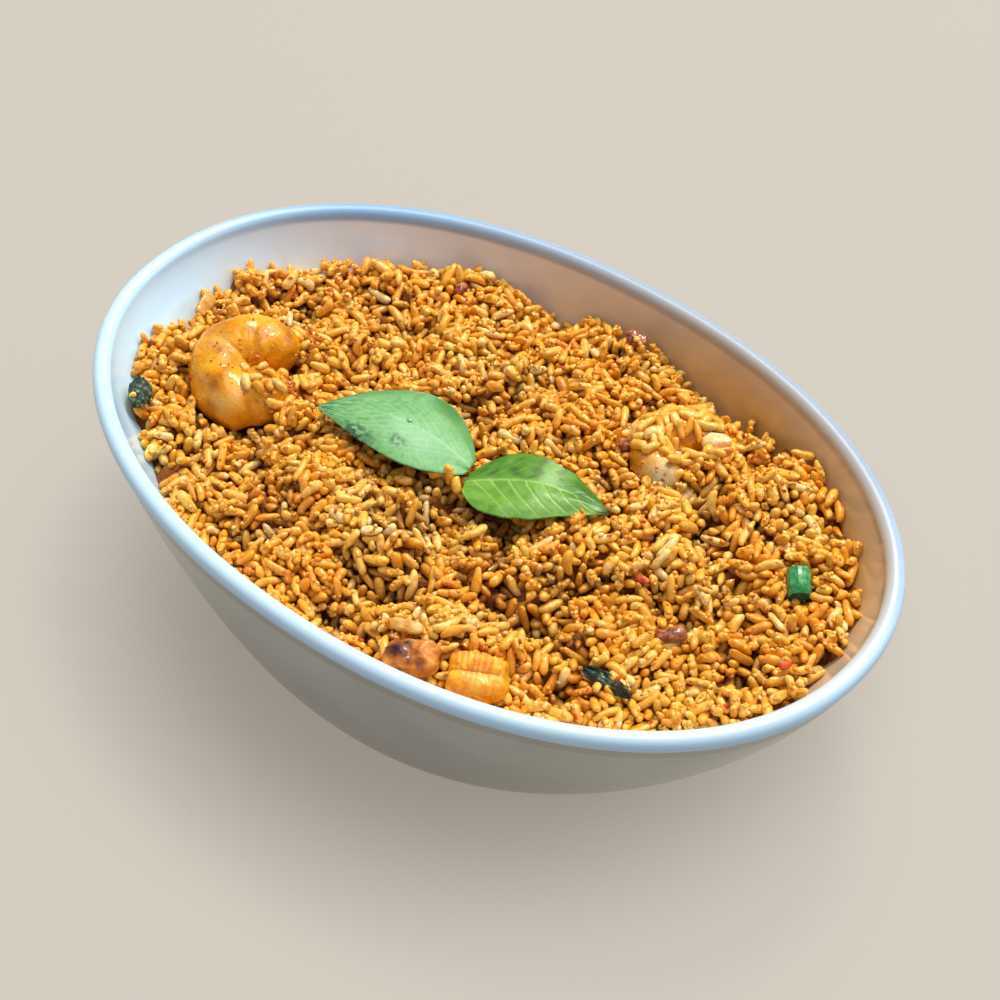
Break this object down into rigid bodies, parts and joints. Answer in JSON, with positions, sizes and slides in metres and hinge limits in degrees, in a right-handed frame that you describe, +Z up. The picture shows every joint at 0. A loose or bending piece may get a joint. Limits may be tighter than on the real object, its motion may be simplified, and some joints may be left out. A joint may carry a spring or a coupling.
{
  "type": "tom yum rice in an oval bowl",
  "caption": "Oval white melamine bowl heaped with orange tom yum rice, with prawns, squid, basil leaves and a piece of spring onion",
  "frame": {"origin": "centre of the foot of the bowl, on the surface it stands on", "axes": "+X along the long side of the oval bowl, +Y across it, +Z up"},
  "size_m": [0.22, 0.144, 0.053],
  "materials": {
    "bowl": "smooth white melamine, moulded, with a soft gloss",
    "rice": "cooked jasmine rice, coated in orange chilli and prawn oil, moist",
    "prawn": "cooked peeled prawn, translucent golden, wet",
    "squid": "cooked scored squid, translucent, oily",
    "browned": "seared flesh, dark brown and red",
    "leaf_underside": "pale matte underside of a basil leaf, with veins",
    "leaf_top": "bright glossy top of a basil leaf, quilted between the veins",
    "spring_onion": "dark green spring onion leaf, waxy",
    "onion": "cooked onion, translucent"
  },
  "bodies": {
    "root": {"bowl": "bowl", "rice": "rice", "prawn_left": "prawn", "prawn_right": "prawn", "squid_piece": "squid", "browned_piece": "browned", "basil_leaf_left": "leaf_underside", "basil_leaf_right": "leaf_top", "spring_onion": "spring_onion", "onion_slice": "onion"}
  },
  "joints": []
}
